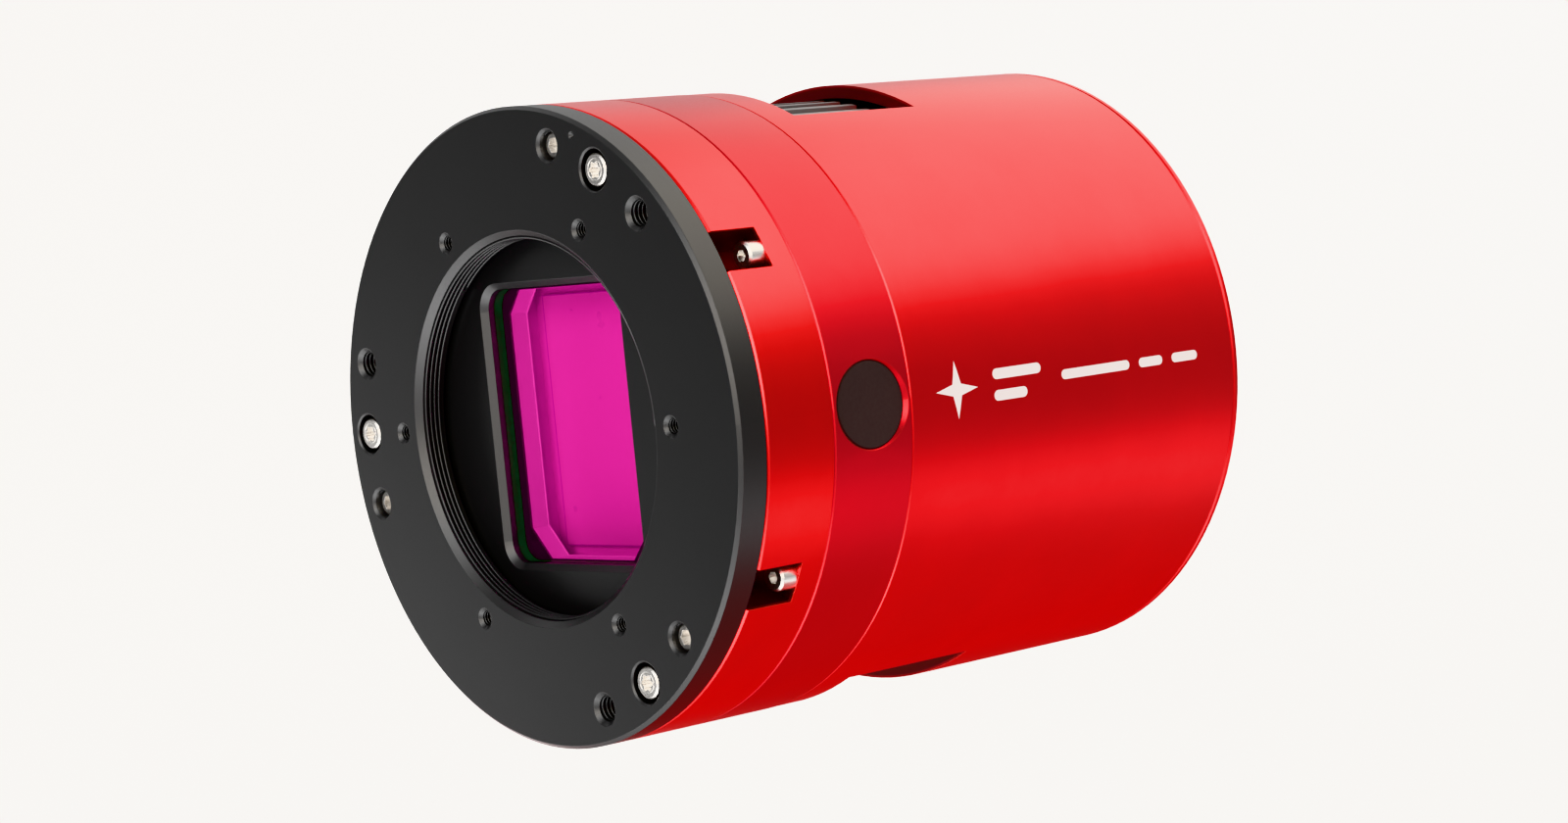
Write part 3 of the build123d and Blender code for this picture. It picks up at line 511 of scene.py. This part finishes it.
def printed(name, outlines, radius, thick, material, body):
    """Raised print: flat outlines, cut in narrow strips and wrapped about the optical axis."""
    mesh = bmesh.new()
    for outline in outlines:
        mesh.faces.new([mesh.verts.new((0, y, z)) for y, z in outline])
    low = min(z for outline in outlines for y, z in outline)
    high = max(z for outline in outlines for y, z in outline)
    for i in range(1, int((high - low) / STRIP) + 1):
        everything = mesh.verts[:] + mesh.edges[:] + mesh.faces[:]
        cut = (0, 0, low + STRIP * i)
        bmesh.ops.bisect_plane(mesh, geom=everything, dist=ON_THE_CUT, plane_co=cut, plane_no=(0, 0, 1))
    raised = bmesh.ops.extrude_face_region(mesh, geom=mesh.faces[:])
    for vertex in raised["geom"]:
        if isinstance(vertex, bmesh.types.BMVert):
            vertex.co.x = thick
    for vertex in mesh.verts:
        reach, turn = radius + vertex.co.x, vertex.co.z / radius
        vertex.co = Vector((reach * math.cos(turn), vertex.co.y, reach * math.sin(turn))) * MM
    bmesh.ops.recalc_face_normals(mesh, faces=mesh.faces[:])
    # numbered by place, so that each run makes the same mesh
    corners = sorted(mesh.verts, key=lambda vertex: vertex.co.to_tuple())
    number = {vertex: i for i, vertex in enumerate(corners)}
    faces = sorted([number[vertex] for vertex in face.verts] for face in mesh.faces)
    piece(name, [vertex.co.to_tuple() for vertex in corners], faces, material, body)
    mesh.free()


def shell_print():
    """A plain star and bars in white, in place of lettering."""
    white = moulded("white_print", (0.86, 0.84, 0.84), 0.5, 6000, 0.000005, 0.02)
    shell_r = (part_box("rear_shell")[1][0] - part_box("rear_shell")[0][0]) / 2 / MM
    outlines = [star(39.5, 0.2, 4.0, 1.15, 4), bar(46.5, 56.0, 1.6, 1.5), bar(46.5, 53.0, -1.4, 1.5)]
    outlines += [bar(60.0, 74.0, 0.1, 1.4), bar(76.0, 81.0, 0.1, 1.4), bar(83.0, 88.5, 0.1, 1.4)]
    printed("shell_print", outlines, shell_r - 0.02, 0.035, white, "camera")


# the mask behind the window, in millimetres: its thickness, the half sizes of its clear outline along X
# and Z, and the sizes of the cuts at its top and bottom corners
MASK_THICK = 0.3
OCTAGON_HALF = (13.6, 19.4)
TOP_CUT = (2.7, 3.4)
BOTTOM_CUT = (4.0, 4.4)


def octagon(grow):
    """The clear outline behind the window in (x, z) millimetres, with larger cuts at its bottom corners."""
    half_x, half_z = OCTAGON_HALF[0] + grow, OCTAGON_HALF[1] + grow
    right = [(half_x - BOTTOM_CUT[0], -half_z), (half_x, BOTTOM_CUT[1] - half_z)]
    right += [(half_x, half_z - TOP_CUT[1]), (half_x - TOP_CUT[0], half_z)]
    return right + [(-x, z) for x, z in reversed(right)]


def baffle():
    """The pale tunnel between the window and the sensor's cover glass, with a small lip at its rear."""
    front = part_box("window_glass")[1][1] / MM + MASK_THICK + 0.02
    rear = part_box("sensor_cover_glass")[0][1] / MM - 0.05
    section = [(0.02, front), (0.02, rear - 0.2), (-0.12, rear - 0.14), (-0.12, rear)]
    section += [(0.8, rear), (0.8, front + 0.6), (0.12, front)]
    vertices = [(x * MM, y * MM, z * MM) for grow, y in section for x, z in octagon(grow)]
    faces = []
    for i in range(len(section)):
        a, b = 8 * i, 8 * ((i + 1) % len(section))
        faces += [(a + j, b + j, b + (j + 1) % 8, a + (j + 1) % 8) for j in range(8)]
    tunnel = moulded("pale_baffle", (0.74, 0.90, 0.80), 0.55, 6000, 0.000002, 0.02)
    piece("baffle", vertices, faces, tunnel, "camera")


threads()
baffle()
shell_print()


# ---- studio -----------------------------------------------------------------------------------

# metres: the floor's depth below the axis, its radius, the radius of its sweep and the wall's top
FLOOR_DEPTH = -0.30
FLOOR_RADIUS = 3.2
FLOOR_SWEEP = 1.6
WALL_TOP = 2.6
FLOOR_GLOW = 0.35
SWEEP_STEPS = 12


def lathe(name, profile, steps, material):
    """A surface turned about Z from (radius, height) points."""
    vertices, faces = [], []
    for i in range(steps):
        turn = 2 * math.pi * i / steps
        vertices += [(r * math.cos(turn), r * math.sin(turn), z) for r, z in profile]
    count = len(profile)
    for i in range(steps):
        a, b = i * count, (i + 1) % steps * count
        faces += [(a + j, b + j, b + j + 1, a + j + 1) for j in range(count - 1)]
    mesh = bpy.data.meshes.new(name)
    mesh.from_pydata(vertices, [], faces)
    mesh.polygons.foreach_set("use_smooth", [True] * len(mesh.polygons))
    return added(name, mesh, material)


def studio():
    """The pale floor, swept up into a round wall. Only the camera sees it: it lights and shades nothing."""
    floor_mat = moulded("floor_paint", (0.90, 0.90, 0.90), 0.85, 300, 0.0001, 0.004)
    floor_mat.node_tree.nodes["Principled BSDF"].inputs["Emission Strength"].default_value = FLOOR_GLOW
    flat = FLOOR_RADIUS - FLOOR_SWEEP
    profile = [(0.001, FLOOR_DEPTH), (1.0, FLOOR_DEPTH), (flat, FLOOR_DEPTH)]
    for i in range(1, SWEEP_STEPS + 1):
        turn = math.pi / 2 * i / SWEEP_STEPS
        out, rise = FLOOR_SWEEP * math.sin(turn), FLOOR_SWEEP * (1 - math.cos(turn))
        profile.append((flat + out, FLOOR_DEPTH + rise))
    profile.append((FLOOR_RADIUS, WALL_TOP))
    floor = lathe("floor", profile, 96, floor_mat)
    for ray in ("diffuse", "glossy", "transmission", "shadow"):
        setattr(floor, f"visible_{ray}", False)


def direction(azimuth, elevation):
    """A unit vector. Azimuth 0 is -Y, in front of the camera's window, and 90 is +X."""
    turn, rise = math.radians(azimuth), math.radians(elevation)
    return Vector((math.sin(turn) * math.cos(rise), -math.cos(turn) * math.cos(rise), math.sin(rise)))


def studio_light():
    """The tent: soft panels on a grey ground, as seen from the object. Some of them take light away."""
    world = bpy.data.worlds.new("studio")
    scene.world = world
    world.use_nodes = True
    w = Nodes(world.node_tree)
    toward = w.node("ShaderNodeTexCoord").outputs["Generated"]
    ramp = w.node("ShaderNodeValToRGB")
    w.link(w.ranged(w.dot(toward, (0, 0, 1)), 0, 1, -1, 1), ramp.inputs["Fac"])
    stops = ramp.color_ramp.elements
    while len(stops) < len(GROUND):
        stops.new(0.5)
    for stop, (place, level) in zip(stops, GROUND):
        stop.position = (place + 1) / 2
        stop.color = (level / GROUND_MAX, level / GROUND_MAX, level / GROUND_MAX, 1)
    scaled = w.node("ShaderNodeVectorMath", operation="SCALE")
    w.link(ramp.outputs["Color"], scaled.inputs[0])
    scaled.inputs["Scale"].default_value = GROUND_MAX
    total = scaled.outputs[0]
    for azimuth, elevation, half_wide, half_high, soft, light in PANELS:
        ahead = direction(azimuth, elevation)
        right = direction(azimuth + 90, 0)
        up = right.cross(ahead)
        up = up if up.z > 0 else -up
        forward = w.dot(toward, ahead)
        mask = w.ranged(forward, 0, 1, 0.0, 0.2)
        for axis, half in ((right, half_wide), (up, half_high)):
            side = w.math("DIVIDE", w.dot(toward, axis), w.math("MAXIMUM", forward, 0.01))
            angle = w.math("ABSOLUTE", w.math("ARCTANGENT", side))
            inner, outer = math.radians(half - soft), math.radians(half + soft)
            mask = w.math("MULTIPLY", mask, w.ranged(angle, 1, 0, inner, outer, smooth=True))
        summed = w.node("ShaderNodeVectorMath", operation="MULTIPLY_ADD")
        summed.inputs[0].default_value = light
        w.link(mask, summed.inputs[1])
        w.link(total, summed.inputs[2])
        total = summed.outputs[0]
    kept = w.node("ShaderNodeVectorMath", operation="MAXIMUM")
    w.link(total, kept.inputs[0])
    w.link(kept.outputs[0], world.node_tree.nodes["Background"].inputs["Color"])


# height of the direction (-1 down, 1 up) and brightness there
GROUND = ((-1, 0.60), (-0.6, 0.62), (-0.16, 0.45), (0.05, 0.45), (0.4, 0.8), (1, 1.2))
GROUND_MAX = 2.0
# azimuth, elevation, half width, half height, softness in degrees, light added there
PANELS = (
    (150, 42, 60, 17, 5, (1.36, 1.20, 0.98)),
    (145, -29, 45, 8, 3, (0.72, 0.75, 0.76)),
    (-93, -20, 31, 17, 3, (1.95, 1.95, 1.95)),
    (36, 18, 8, 19, 3, (5.20, 4.80, 4.30)),
    (18, -47, 22, 15, 4, (1.40, 1.40, 1.40)),
    (5, 33, 18, 14, 4, (4.00, 4.00, 4.00)),
    (10, -26, 18, 10, 4, (4.00, 4.00, 4.00)),
    (-20, -52, 30, 13, 5, (3.00, 3.00, 3.00)),
    (20, 0, 14, 14, 4, (1.20, 1.20, 1.20)),
    (20, 62, 80, 22, 10, (-0.70, -0.70, -0.70)),
    (-30, 0, 27, 22, 4, (-0.38, -0.38, -0.38)),
    (150, -62, 60, 24, 4, (0.10, -0.45, -0.45)),
    (-130, -28, 40, 20, 5, (0.00, -0.45, -0.45)),
)


studio()
studio_light()
